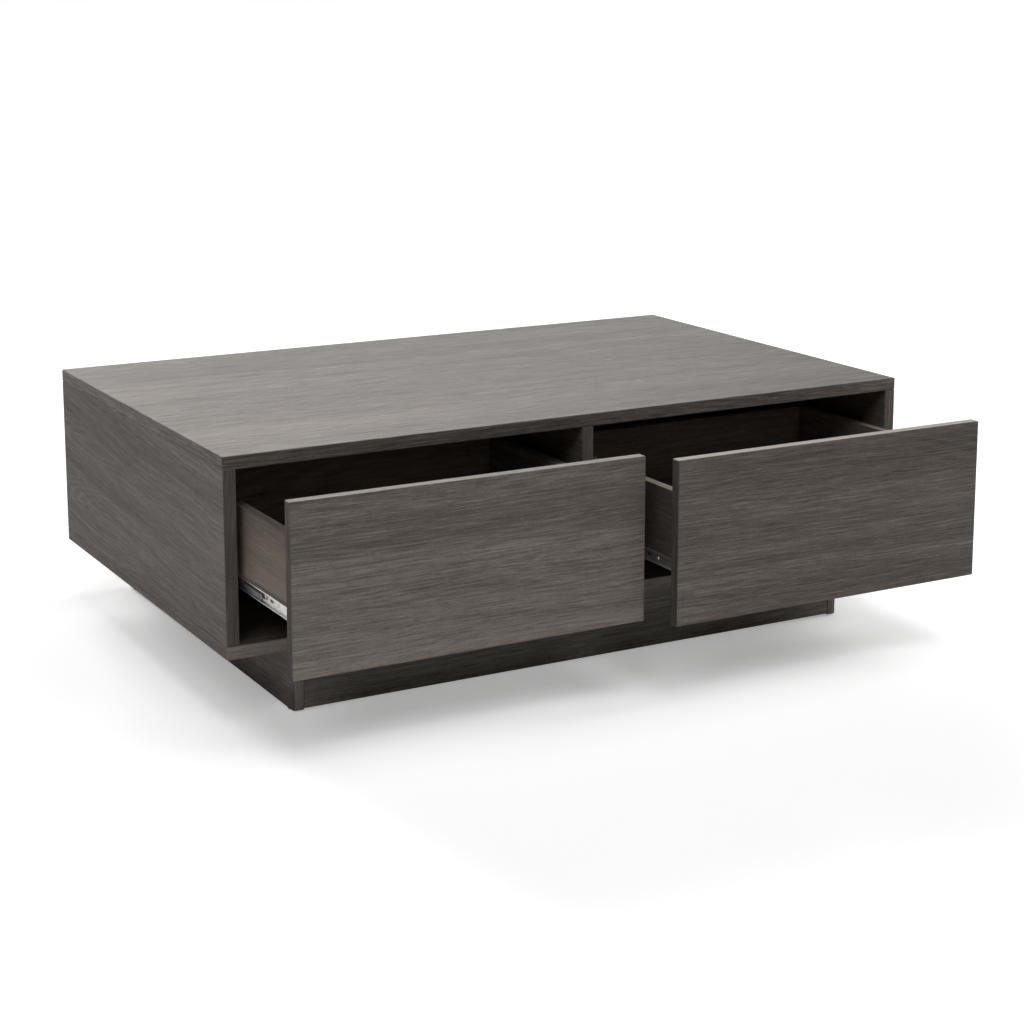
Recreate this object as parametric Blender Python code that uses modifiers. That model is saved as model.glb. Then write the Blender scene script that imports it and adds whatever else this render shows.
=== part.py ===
"""A low coffee table with two handleless drawers on full-extension ball runners.

Metres, +Z up. The front faces -Y, and the origin is on the floor at the centre of the table's footprint.
The drawers stand partly open, which is how the table rests.
"""

import math

import bmesh
import bpy
from mathutils import Matrix, Vector

# Outside of the table
TABLE_WIDTH = 1.200
TABLE_DEPTH = 0.750
TABLE_HEIGHT = 0.400
PLINTH_HEIGHT = 0.100

# Boards
BOARD = 0.020
BACK_BOARD = 0.018
PLINTH_BOARD = 0.018
FRONT_BOARD = 0.018
BOX_BOARD = 0.015
BOTTOM_BOARD = 0.006
EDGE_CHAMFER = 0.0008

# Clearances and cuts
FIT_GAP = 0.0003
CUT_OVERRUN = 0.002

# Plinth, its corner blocks and the glides it stands on
PLINTH_SIDE_INSET = 0.104
PLINTH_FRONT_INSET = 0.008
PLINTH_CORNER_RADIUS = 0.006
PLINTH_RAIL_LIFT = 0.002
BLOCK_SIZE = 0.036
BLOCK_LENGTH = 0.060
GLIDE_HEIGHT = 0.003
GLIDE_RADIUS = 0.008
GLIDE_PIN_RADIUS = 0.0012
GLIDE_PIN_LENGTH = 0.012
GLIDE_SETBACK = 0.022

# Drawer fronts, drawer boxes and the screws that join them
FRONT_SIDE_GAP = 0.003
FRONT_TOP_GAP = 0.007
FRONT_BOTTOM_GAP = 0.002
BOX_RISE = 0.080
BOX_HEADROOM = 0.060
BOX_DEPTH = 0.430
BOTTOM_RISE = 0.016
GROOVE_DEPTH = 0.006
SCREW_RADIUS = 0.002
SCREW_HEAD_RADIUS = 0.004
SCREW_HEAD_HEIGHT = 0.0024
SCREW_BITE = 0.011
SCREW_INSET = 0.057

# Ball runners: two steel channels that face each other, a middle bar with a flange in each, and ball cages
RUNNER_LENGTH = 0.400
RUNNER_SPACE = 0.013
RUNNER_SETBACK = 0.002
RUNNER_RISE = 0.010
RUNNER_SHEET = 0.001
RUNNER_LIP_GAP = 0.0016
TRACK_HEIGHT = 0.018
SCREW_HEAD_ROOM = 0.0015
HOLE_RADIUS = 0.0022
HOLE_FRONT = 0.047
HOLE_PITCH = 0.049
HOLE_REAR = 0.035
BALL_RADIUS = 0.001
BALLS_PER_ROW = 4
CAGE_SHEET = 0.0005
CAGE_MARGIN = 0.0005
CATCH_LENGTH = 0.026
CATCH_HEIGHT = 0.014
CATCH_THICKNESS = 0.008
CATCH_STANDOFF = 0.002

# How far each drawer stands open, and the share of its travel that each inner piece makes
LEFT_OPENING = 0.187
RIGHT_OPENING = 0.236
INNER_CAGE_SHARE = 0.75
MIDDLE_SHARE = 0.5
OUTER_CAGE_SHARE = 0.25

# Roundness
ROUND_SIDES = 8
GLIDE_SIDES = 16
CORNER_SEGMENTS = 3
BALL_SIDES = 6
BALL_RINGS = 4
WELD = 0.00001
CHAMFER_ANGLE = math.radians(60)
SMOOTH_ANGLE = math.radians(40)

# Colour, roughness and metal of each finish
LAMINATE = ((0.120, 0.106, 0.096), 0.55, 0.0)
PLINTH_LAMINATE = ((0.050, 0.045, 0.040), 0.60, 0.0)
BOX_WOOD = ((0.135, 0.112, 0.095), 0.65, 0.0)
BOX_BOTTOM = ((0.110, 0.095, 0.083), 0.65, 0.0)
RAW_WOOD = ((0.420, 0.300, 0.180), 0.80, 0.0)
ZINC = ((0.560, 0.560, 0.545), 0.32, 1.0)
SCREW_STEEL = ((0.450, 0.450, 0.440), 0.35, 1.0)
BLACK_PLASTIC = ((0.020, 0.020, 0.020), 0.50, 0.0)
GREY_PLASTIC = ((0.200, 0.200, 0.200), 0.45, 0.0)

# Planes and places that follow from the sizes
half_width = TABLE_WIDTH / 2
front_y = -TABLE_DEPTH / 2
back_y = TABLE_DEPTH / 2
bay_floor = PLINTH_HEIGHT + BOARD
bay_ceiling = TABLE_HEIGHT - BOARD
side_inner_x = half_width - BOARD
divider_x = BOARD / 2
back_inner_y = back_y - BACK_BOARD
plinth_x = half_width - PLINTH_SIDE_INSET
plinth_y = back_y - PLINTH_FRONT_INSET
plinth_inner_x = plinth_x - PLINTH_BOARD
plinth_inner_y = plinth_y - PLINTH_BOARD
plinth_top = PLINTH_HEIGHT - FIT_GAP

box_front_y = front_y + FRONT_BOARD + FIT_GAP
box_back_y = box_front_y + BOX_DEPTH
box_low_z = bay_floor + BOX_RISE
box_high_z = bay_ceiling - BOX_HEADROOM
runner_y = front_y + FRONT_BOARD + RUNNER_SETBACK
runner_z = box_low_z + RUNNER_RISE
cabinet_member_length = RUNNER_LENGTH + CATCH_STANDOFF + CATCH_LENGTH
cage_length = RUNNER_LENGTH / 2
hole_places = (HOLE_FRONT, HOLE_FRONT + HOLE_PITCH, RUNNER_LENGTH / 2, RUNNER_LENGTH - HOLE_REAR)

# Section of a runner: distances out from the board that carries it, and half heights
ball_gap = 2 * (BALL_RADIUS + FIT_GAP)
cabinet_web = FIT_GAP
cabinet_lip = (RUNNER_SPACE - RUNNER_LIP_GAP) / 2
outer_cage_web = cabinet_web + RUNNER_SHEET + SCREW_HEAD_ROOM
middle_near = outer_cage_web + CAGE_SHEET + FIT_GAP
middle_far = RUNNER_SPACE - middle_near
inner_cage_web = RUNNER_SPACE - outer_cage_web
drawer_lip = RUNNER_SPACE - cabinet_lip
drawer_web = RUNNER_SPACE - cabinet_web
track_half = TRACK_HEIGHT / 2
middle_half = track_half - RUNNER_SHEET - ball_gap
ball_row_z = middle_half + ball_gap / 2
outer_ball = (middle_near + cabinet_lip) / 2
inner_ball = RUNNER_SPACE - outer_ball


# Scene and collections
for old in list(bpy.data.objects):
    bpy.data.objects.remove(old)

parts = bpy.data.collections.new("coffee_table")
cutters = bpy.data.collections.new("cutters")
bpy.context.scene.collection.children.link(parts)
bpy.context.scene.collection.children.link(cutters)


# Pieces, cutters and the empties that carry moving pieces
class Slide:
    """An empty that carries moving pieces. They are placed as with the drawer shut, and it stands forward."""

    def __init__(self, name, shut, forward):
        self.shut = Vector(shut)
        self.empty = bpy.data.objects.new(name, None)
        self.empty.location = self.shut - Vector((0, forward, 0))
        parts.objects.link(self.empty)


def place(item, point, slide, direction=None):
    """Puts an object's origin at a point, on its slide if it has one, with +Z turned to a direction."""
    item.location = point
    if slide:
        item.parent = slide.empty
        item.location = Vector(point) - slide.shut
    if direction:
        item.rotation_mode = "QUATERNION"
        item.rotation_quaternion = Vector(direction).to_track_quat("Z", "Y")


def new_piece(name, mesh, point, look, slide=None, direction=None):
    """A visible solid with a material of its own."""
    piece = bpy.data.objects.new(name, mesh)
    parts.objects.link(piece)
    place(piece, point, slide, direction)
    colour, roughness, metallic = look
    material = bpy.data.materials.new(name)
    material.use_nodes = True
    shader = material.node_tree.nodes["Principled BSDF"]
    shader.inputs["Base Color"].default_value = (*colour, 1)
    shader.inputs["Roughness"].default_value = roughness
    shader.inputs["Metallic"].default_value = metallic
    mesh.materials.append(material)
    return piece


def new_cutter(name, mesh, point, slide=None, direction=None):
    """A solid that only cuts others or is joined to them."""
    cutter = bpy.data.objects.new(name, mesh)
    cutters.objects.link(cutter)
    place(cutter, point, slide, direction)
    cutter.hide_render = True
    cutter.display_type = "WIRE"
    return cutter


def combine(pieces, cutter, operation="DIFFERENCE"):
    """Cuts the pieces by a cutter, or joins them with it."""
    for piece in pieces:
        step = piece.modifiers.new(cutter.name, "BOOLEAN")
        step.operation = operation
        step.solver = "EXACT"
        step.object = cutter


# Shapes
def block_mesh(name, size):
    """A box of the given size about its own centre."""
    shape = bmesh.new()
    bmesh.ops.create_cube(shape, size=1)
    bmesh.ops.scale(shape, vec=size, verts=shape.verts)
    mesh = bpy.data.meshes.new(name)
    shape.to_mesh(mesh)
    shape.free()
    return mesh


def board(name, corner, opposite, look, slide=None):
    """A board between two opposite corners, with its edges lightly chamfered."""
    low = Vector(map(min, corner, opposite))
    high = Vector(map(max, corner, opposite))
    piece = new_piece(name, block_mesh(name, high - low), (low + high) / 2, look, slide)
    chamfer = piece.modifiers.new("chamfer", "BEVEL")
    chamfer.width = EDGE_CHAMFER
    chamfer.segments = 1
    chamfer.limit_method = "ANGLE"
    chamfer.angle_limit = CHAMFER_ANGLE
    return piece


def turned_mesh(name, steps, sides):
    """Stacked cylinders about Z, from (radius, top, bottom) steps that run down from the top."""
    outline = [(0, 0, steps[0][1])]
    for radius, top, bottom in steps:
        outline += [(radius, 0, top), (radius, 0, bottom)]
    outline.append((0, 0, steps[-1][2]))
    profile = bpy.data.meshes.new(name)
    profile.from_pydata(outline, [(i, i + 1) for i in range(len(outline) - 1)], [])
    turner = bpy.data.objects.new(name, profile)
    cutters.objects.link(turner)
    turn = turner.modifiers.new("turn", "SCREW")
    turn.axis = "Z"
    turn.steps = turn.render_steps = sides
    turn.use_merge_vertices = True
    turn.merge_threshold = WELD
    bpy.context.view_layer.update()
    evaluated = turner.evaluated_get(bpy.context.evaluated_depsgraph_get())
    mesh = bpy.data.meshes.new_from_object(evaluated)
    bpy.data.objects.remove(turner)
    mesh.shade_smooth()
    mesh.set_sharp_from_angle(angle=SMOOTH_ANGLE)
    return mesh


def channel_corners(web, lip, half_height, sheet):
    """The outline of a C channel, from its web's and lips' distance from the board and half its height."""
    inner = web + math.copysign(sheet, lip - web)
    under = half_height - sheet
    corners = [(web, half_height), (lip, half_height), (lip, under), (inner, under)]
    return corners + [(out, -up) for out, up in reversed(corners)]


def double_flange_corners(near, far, half_height, sheet):
    """The outline of a bar with a flange to each side, above and below its web."""
    left = (near + far - sheet) / 2
    right = left + sheet
    under = half_height - sheet
    upper = [(near, half_height), (far, half_height), (far, under), (right, under)]
    lower = [(right, -under), (far, -under), (far, -half_height), (near, -half_height)]
    return upper + lower + [(near, -under), (left, -under), (left, under), (near, under)]


def bar_mesh(name, hand, corners, length):
    """A straight bar along Y with the given outline."""
    curve = bpy.data.curves.new(name, "CURVE")
    curve.dimensions = "2D"
    curve.fill_mode = "BOTH"
    curve.extrude = length / 2
    outline = curve.splines.new("POLY")
    outline.points.add(len(corners) - 1)
    for point, (out, up) in zip(outline.points, corners):
        point.co = (hand * out, up, 0, 1)
    outline.use_cyclic_u = True
    bar = bpy.data.objects.new(name, curve)
    cutters.objects.link(bar)
    bpy.context.view_layer.update()
    mesh = bpy.data.meshes.new_from_object(bar.evaluated_get(bpy.context.evaluated_depsgraph_get()))
    bpy.data.objects.remove(bar)
    shape = bmesh.new()
    shape.from_mesh(mesh)
    bmesh.ops.remove_doubles(shape, verts=shape.verts, dist=WELD)
    along_y = Matrix.Translation((0, length / 2, 0)) @ Matrix.Rotation(math.pi / 2, 4, "X")
    bmesh.ops.transform(shape, matrix=along_y, verts=shape.verts)
    bmesh.ops.recalc_face_normals(shape, faces=shape.faces)
    shape.to_mesh(mesh)
    shape.free()
    return mesh


# Carcass
def make_carcass():
    """The case: top and bottom over the full width, uprights between them, and a back between the sides."""
    low = bay_floor + FIT_GAP
    high = bay_ceiling - FIT_GAP
    back_x = side_inner_x - FIT_GAP
    board("top_panel", (-half_width, front_y, bay_ceiling), (half_width, back_y, TABLE_HEIGHT), LAMINATE)
    board("bottom_panel", (-half_width, front_y, PLINTH_HEIGHT), (half_width, back_y, bay_floor), LAMINATE)
    board("left_side_panel", (-half_width, front_y, low), (-side_inner_x, back_y, high), LAMINATE)
    board("right_side_panel", (side_inner_x, front_y, low), (half_width, back_y, high), LAMINATE)
    board("centre_divider", (-divider_x, front_y, low), (divider_x, back_inner_y - FIT_GAP, high), LAMINATE)
    board("back_panel", (-back_x, back_inner_y, low), (back_x, back_y, high), LAMINATE)


# Plinth
def round_outer_corners(side_board, hand):
    """Rounds the two upright edges of a plinth side board that face outwards."""
    shape = bmesh.new()
    shape.from_mesh(side_board.data)
    edges = []
    for edge in shape.edges:
        start, end = (vert.co for vert in edge.verts)
        if start.x * hand > 0 and end.x * hand > 0 and start.y == end.y:
            edges.append(edge)
    bmesh.ops.bevel(
        shape,
        geom=edges,
        offset=PLINTH_CORNER_RADIUS,
        segments=CORNER_SEGMENTS,
        profile=0.5,
        affect="EDGES",
    )
    shape.to_mesh(side_board.data)
    shape.free()


def make_glide(name, x, y, host):
    """A nail-on glide, and the hole for its pin."""
    steps = [(GLIDE_PIN_RADIUS, GLIDE_PIN_LENGTH, -FIT_GAP), (GLIDE_RADIUS, -FIT_GAP, -GLIDE_HEIGHT)]
    hole_steps = [(GLIDE_PIN_RADIUS + FIT_GAP, GLIDE_PIN_LENGTH + FIT_GAP, -CUT_OVERRUN)]
    point = (x, y, GLIDE_HEIGHT)
    new_piece(name, turned_mesh(name, steps, GLIDE_SIDES), point, BLACK_PLASTIC)
    hole = turned_mesh(name + "_hole", hole_steps, GLIDE_SIDES)
    combine([host], new_cutter(name + "_hole", hole, point))


def make_plinth():
    """The recessed base: two side boards, two rails between them, a middle rail, blocks and glides."""
    glide_x = plinth_x - PLINTH_BOARD / 2
    glide_y = plinth_y - GLIDE_SETBACK
    block_x = plinth_inner_x - FIT_GAP
    block_y = plinth_inner_y - FIT_GAP
    for side, hand in (("left", -1), ("right", 1)):
        corner = (hand * plinth_x, -plinth_y, GLIDE_HEIGHT)
        opposite = (hand * plinth_inner_x, plinth_y, plinth_top)
        side_board = board("plinth_" + side + "_board", corner, opposite, PLINTH_LAMINATE)
        round_outer_corners(side_board, hand)
        for end, way in (("front", -1), ("back", 1)):
            spot = end + "_" + side
            make_glide("floor_glide_" + spot, hand * glide_x, way * glide_y, side_board)
            corner = (hand * block_x, way * block_y, plinth_top)
            x, y = block_x - BLOCK_SIZE, block_y - BLOCK_SIZE
            opposite = (hand * x, way * y, plinth_top - BLOCK_LENGTH)
            board("plinth_block_" + spot, corner, opposite, RAW_WOOD)
    rail_x = plinth_inner_x - FIT_GAP
    rail_low = GLIDE_HEIGHT + PLINTH_RAIL_LIFT
    for end, way in (("front", -1), ("back", 1)):
        corner = (-rail_x, way * plinth_y, rail_low)
        board("plinth_" + end + "_rail", corner, (rail_x, way * plinth_inner_y, plinth_top), PLINTH_LAMINATE)
    corner = (-PLINTH_BOARD / 2, FIT_GAP - plinth_inner_y, GLIDE_HEIGHT)
    opposite = (PLINTH_BOARD / 2, plinth_inner_y - FIT_GAP, plinth_top)
    middle = board("plinth_middle_rail", corner, opposite, PLINTH_LAMINATE)
    make_glide("floor_glide_middle", 0, 0, middle)


# Drawers
def make_drawer(name, bay_left, bay_right, slide):
    """A box of two sides, a sub front and a back round a grooved-in bottom, behind an inset front."""
    left = bay_left + RUNNER_SPACE
    right = bay_right - RUNNER_SPACE
    inner_left = left + BOX_BOARD
    inner_right = right - BOX_BOARD
    inner_front = box_front_y + BOX_BOARD
    inner_back = box_back_y - BOX_BOARD
    end_left = inner_left + FIT_GAP
    end_right = inner_right - FIT_GAP
    corner = (bay_left + FRONT_SIDE_GAP, front_y, bay_floor + FRONT_BOTTOM_GAP)
    opposite = (bay_right - FRONT_SIDE_GAP, front_y + FRONT_BOARD, bay_ceiling - FRONT_TOP_GAP)
    front = board(name + "_front", corner, opposite, LAMINATE, slide)
    spans = (
        ("_left_side", (left, box_front_y), (inner_left, box_back_y)),
        ("_right_side", (inner_right, box_front_y), (right, box_back_y)),
        ("_back", (end_left, inner_back), (end_right, box_back_y)),
        ("_sub_front", (end_left, box_front_y), (end_right, inner_front)),
    )
    box = [
        board(name + word, (*low, box_low_z), (*high, box_high_z), BOX_WOOD, slide)
        for word, low, high in spans
    ]
    sub_front = box[-1]

    # The bottom, in its grooves
    low = Vector((inner_left - GROOVE_DEPTH, inner_front - GROOVE_DEPTH, box_low_z + BOTTOM_RISE))
    high = Vector((inner_right + GROOVE_DEPTH, inner_back + GROOVE_DEPTH, low.z + BOTTOM_BOARD))
    board(name + "_bottom", low, high, BOX_BOTTOM, slide)
    clearance = Vector((FIT_GAP, FIT_GAP, FIT_GAP))
    groove = block_mesh(name + "_groove", high - low + 2 * clearance)
    combine(box, new_cutter(name + "_groove", groove, (low + high) / 2, slide))

    # Screws from inside the box into the front
    length = BOX_BOARD + FIT_GAP + SCREW_BITE
    steps = [(SCREW_HEAD_RADIUS, SCREW_HEAD_HEIGHT + FIT_GAP, FIT_GAP), (SCREW_RADIUS, FIT_GAP, -length)]
    hole_steps = [(SCREW_RADIUS + FIT_GAP, CUT_OVERRUN, -length - FIT_GAP)]
    for side, x in (("left", inner_left + SCREW_INSET), ("right", inner_right - SCREW_INSET)):
        screw = name + "_front_screw_" + side
        point = (x, inner_front, (box_low_z + box_high_z) / 2)
        new_piece(screw, turned_mesh(screw, steps, ROUND_SIDES), point, SCREW_STEEL, slide, (0, 1, 0))
        hole = turned_mesh(screw + "_hole", hole_steps, ROUND_SIDES)
        combine([sub_front, front], new_cutter(screw + "_hole", hole, point, slide, (0, 1, 0)))


# Runners
def make_member(name, hand, point, corners, length, slide=None):
    """One steel member of a runner."""
    return new_piece(name, bar_mesh(name, hand, corners, length), point, ZINC, slide)


def make_ball_cage(name, hand, point, section, slide):
    """A thin channel with a row of balls along each lip. Its section gives its web and the balls' centres."""
    web, ball = section
    lip = ball + math.copysign(BALL_RADIUS + CAGE_MARGIN, ball - web)
    corners = channel_corners(web, lip, ball_row_z + CAGE_SHEET / 2, CAGE_SHEET)
    cage = new_piece(name, bar_mesh(name, hand, corners, cage_length), point, ZINC, slide)
    shape = bmesh.new()
    pitch = cage_length / BALLS_PER_ROW
    for i in range(BALLS_PER_ROW):
        for z in (-ball_row_z, ball_row_z):
            centre = Matrix.Translation((hand * ball, pitch / 2 + i * pitch, z))
            bmesh.ops.create_uvsphere(
                shape, u_segments=BALL_SIDES, v_segments=BALL_RINGS, radius=BALL_RADIUS, matrix=centre
            )
    balls = bpy.data.meshes.new(name + "_balls")
    shape.to_mesh(balls)
    shape.free()
    combine([cage], new_cutter(name + "_balls", balls, point, slide), "UNION")


def make_runner(name, hand, board_x, slides):
    """One ball runner on the board at board_x. It reaches towards +X for hand 1 and -X for hand -1."""
    drawer, inner, middle, outer = slides
    point = Vector((board_x, runner_y, runner_z))
    cage_point = point + Vector((0, (RUNNER_LENGTH - cage_length) / 2, 0))
    corners = channel_corners(cabinet_web, cabinet_lip, track_half, RUNNER_SHEET)
    cabinet_member = make_member(name + "_cabinet_member", hand, point, corners, cabinet_member_length)
    make_ball_cage(name + "_outer_ball_cage", hand, cage_point, (outer_cage_web, outer_ball), outer)
    corners = double_flange_corners(middle_near, middle_far, middle_half, RUNNER_SHEET)
    make_member(name + "_middle_member", hand, point, corners, RUNNER_LENGTH, middle)
    make_ball_cage(name + "_inner_ball_cage", hand, cage_point, (inner_cage_web, inner_ball), inner)
    corners = channel_corners(drawer_web, drawer_lip, track_half, RUNNER_SHEET)
    drawer_member = make_member(name + "_drawer_member", hand, point, corners, RUNNER_LENGTH, drawer)

    # Screw holes in the webs that lie against the boards
    depth = RUNNER_SHEET + CUT_OVERRUN
    hole = turned_mesh(name + "_hole", [(HOLE_RADIUS, depth, -depth)], ROUND_SIDES)
    for member, web, slide in ((cabinet_member, cabinet_web, None), (drawer_member, drawer_web, drawer)):
        for i, along in enumerate(hole_places):
            centre = (board_x + hand * web, runner_y + along, runner_z)
            combine([member], new_cutter(member.name + "_hole_" + str(i + 1), hole, centre, slide, (1, 0, 0)))

    # The housing of the push-to-open catch, in the rear end of the cabinet member
    near = cabinet_web + RUNNER_SHEET + FIT_GAP
    far = near + CATCH_THICKNESS
    catch_y = runner_y + RUNNER_LENGTH + CATCH_STANDOFF
    corner = (board_x + hand * near, catch_y, runner_z - CATCH_HEIGHT / 2)
    opposite = (board_x + hand * far, catch_y + CATCH_LENGTH, runner_z + CATCH_HEIGHT / 2)
    board(name + "_push_catch", corner, opposite, GREY_PLASTIC)


# Assembly
def make_bay(name, bay_left, bay_right, opening):
    """A drawer with its two runners. Each moving layer hangs on an empty of its own, on the sliding axis."""
    shut = ((bay_left + bay_right) / 2, runner_y, runner_z)
    drawer = Slide(name + "_slide", shut, opening)
    inner = Slide(name + "_inner_cage_slide", shut, opening * INNER_CAGE_SHARE)
    middle = Slide(name + "_middle_slide", shut, opening * MIDDLE_SHARE)
    outer = Slide(name + "_outer_cage_slide", shut, opening * OUTER_CAGE_SHARE)
    make_drawer(name, bay_left, bay_right, drawer)
    for side, hand, board_x in (("left", 1, bay_left), ("right", -1, bay_right)):
        make_runner(name + "_" + side + "_runner", hand, board_x, (drawer, inner, middle, outer))


make_carcass()
make_plinth()
make_bay("left_drawer", -side_inner_x, -divider_x, LEFT_OPENING)
make_bay("right_drawer", divider_x, side_inner_x, RIGHT_OPENING)
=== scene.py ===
# %% [markdown]
# # A coffee table with two drawers
#
# This lesson dresses a finished CAD model of a low coffee table: a case of wood-grain
# boards on a dark plinth, with two drawers that stand partly open on steel ball runners.
# The CAD model already has every board in its place, in metres, with the floor at Z = 0
# and the front facing -Y. What is left to do is what the eye judges first: the grain of
# the boards, the formed steel of the runners, the small fasteners, and the light.

# %% Load the model
import math

import bmesh
import bpy
from mathutils import Matrix, Vector


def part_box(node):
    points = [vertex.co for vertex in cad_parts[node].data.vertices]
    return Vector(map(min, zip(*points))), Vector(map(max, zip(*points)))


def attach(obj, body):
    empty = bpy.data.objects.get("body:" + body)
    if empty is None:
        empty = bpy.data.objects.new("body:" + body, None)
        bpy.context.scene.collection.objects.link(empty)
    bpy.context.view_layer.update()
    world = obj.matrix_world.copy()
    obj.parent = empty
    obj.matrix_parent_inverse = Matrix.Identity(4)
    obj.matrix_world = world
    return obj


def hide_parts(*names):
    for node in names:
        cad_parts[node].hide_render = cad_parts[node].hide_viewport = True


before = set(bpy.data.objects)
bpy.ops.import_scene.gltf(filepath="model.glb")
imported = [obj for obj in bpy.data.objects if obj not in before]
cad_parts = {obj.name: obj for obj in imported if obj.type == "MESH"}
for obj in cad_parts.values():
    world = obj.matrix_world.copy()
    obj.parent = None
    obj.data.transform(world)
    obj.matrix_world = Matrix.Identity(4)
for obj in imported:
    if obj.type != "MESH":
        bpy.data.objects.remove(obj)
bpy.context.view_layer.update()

# %% [markdown]
# ## The camera
#
# The photograph was taken with the camera level and its lens shifted down, as furniture
# is usually shot, so upright edges stay upright. That takes a shift of about six tenths of
# the frame, and with so much the table leaves the frame when the camera walks round it. So
# a small shift and a slight tilt share the work here, and upright edges lean by a few
# pixels. The focal length, the place and the tilt were solved from some forty straight
# edges of the table.

# %% Camera
TILT_DOWN, TURN_RIGHT = 10.51, 28.92  # degrees
camera_data = bpy.data.cameras.new("camera")
camera_data.sensor_width = 36
camera_data.lens = 73.996
camera_data.shift_y = -0.15
camera = bpy.data.objects.new("camera", camera_data)
camera.location = (-1.63769, -3.09697, 1.07596)
camera.rotation_euler = (math.radians(90 - TILT_DOWN), 0, math.radians(-TURN_RIGHT))
bpy.context.scene.collection.objects.link(camera)
bpy.context.scene.camera = camera
print("camera", [round(v, 3) for v in camera.location])

# %% [markdown]
# ## Small helpers for node trees
#
# Materials here are built from nodes, so that nothing depends on an image. A few helpers
# keep the steps readable. They add a node and set its values, do a sum on numbers or
# vectors, look up a noise, map one range to another, mix two colours, and start a material
# or a group with named inputs and outputs.


# %% Node helpers
def feed(tree, sockets, terms):
    """Gives each socket its term: a value is set there, and another node's socket is linked to it."""
    for socket, term in zip(sockets, terms):
        if isinstance(term, bpy.types.NodeSocket):
            tree.links.new(term, socket)
        else:
            socket.default_value = term


def add_node(tree, kind, label="", **values):
    """Adds a node and gives it its values, by the names of its settings and its sockets."""
    node = tree.nodes.new(kind)
    node.label = label
    for name, value in values.items():
        if hasattr(node, name):
            setattr(node, name, value)
        else:
            feed(tree, [node.inputs[name.replace("_", " ")]], [value])
    return node


def maths(tree, operation, *terms, clamp=False):
    """A maths node on numbers and sockets, which gives its result's socket."""
    node = add_node(tree, "ShaderNodeMath", operation=operation, use_clamp=clamp)
    feed(tree, node.inputs, terms)
    return node.outputs[0]


def vector_maths(tree, operation, *terms):
    """The same on vectors. A dot product's result is a number, and the others' are vectors."""
    node = add_node(tree, "ShaderNodeVectorMath", operation=operation)
    feed(tree, node.inputs, terms)
    return node.outputs["Value" if operation == "DOT_PRODUCT" else "Vector"]


def noise(tree, point, scale, detail, roughness=0.5, label=""):
    """The value of a noise texture at a point, from 0 to 1."""
    values = dict(Vector=point, Scale=scale, Detail=detail, Roughness=roughness)
    return add_node(tree, "ShaderNodeTexNoise", label, **values).outputs["Fac"]


def ramp(tree, value, low, high, to_low=0.0, to_high=1.0):
    """Maps a number from one range to another, with a smooth step, and holds it there."""
    limits = dict(From_Min=low, From_Max=high, To_Min=to_low, To_Max=to_high)
    node = add_node(tree, "ShaderNodeMapRange", interpolation_type="SMOOTHSTEP", Value=value, **limits)
    return node.outputs["Result"]


def blend_colour(tree, share, first, second):
    """Mixes two colours by a share from 0 to 1."""
    node = add_node(tree, "ShaderNodeMix", data_type="RGBA")
    feed(tree, [node.inputs[index] for index in (0, 6, 7)], (share, first, second))
    return node.outputs[2]


def opaque(colour, share=1.0):
    """A colour, or a share of it, with the fourth number that a colour socket takes."""
    return (*[part * share for part in colour], 1)


def new_material(name):
    """A material with its node tree and its shader."""
    material = bpy.data.materials.new(name)
    material.use_nodes = True
    return material, material.node_tree, material.node_tree.nodes["Principled BSDF"]


NUMBER, VECTOR = "NodeSocketFloat", "NodeSocketVector"


def new_group(name, inputs, outputs):
    """An empty shader group, from its inputs' usual values and the names of the numbers it puts out."""
    tree = bpy.data.node_groups.new(name, "ShaderNodeTree")
    for socket_name, usual in inputs.items():
        kind = VECTOR if isinstance(usual, tuple) else NUMBER
        tree.interface.new_socket(socket_name, in_out="INPUT", socket_type=kind).default_value = usual
    for socket_name in outputs:
        tree.interface.new_socket(socket_name, in_out="OUTPUT", socket_type=NUMBER)
    inside = tree.nodes.new("NodeGroupInput").outputs
    result = tree.nodes.new("NodeGroupOutput").inputs
    return tree, inside, result


print("node helpers ready")

# %% [markdown]
# ## Where a point lies on its board
#
# A laminated board isn't solid wood: a printed sheet covers its faces, and narrow strips of
# the same print cover its edges, each with the grain along its own length. So a grain that
# simply runs through the board would show false end grain on the edges. This group picks
# the grain's direction from the face: along the board on its faces and long edges, and
# along the edge on its two ends. It also gives each board a sheet of its own, because
# no two boards are cut from the same place of the print.


# %% Group: grain direction
SHEET_ALONG, SHEET_ASIDE = 1.37, 0.83  # metres on the print from one board's sheet to the next
STRIP_SHEETS, END_STRIPS = 3.1, 1.7  # sheets from a face's print to a strip's, and strips more to an end's


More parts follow.
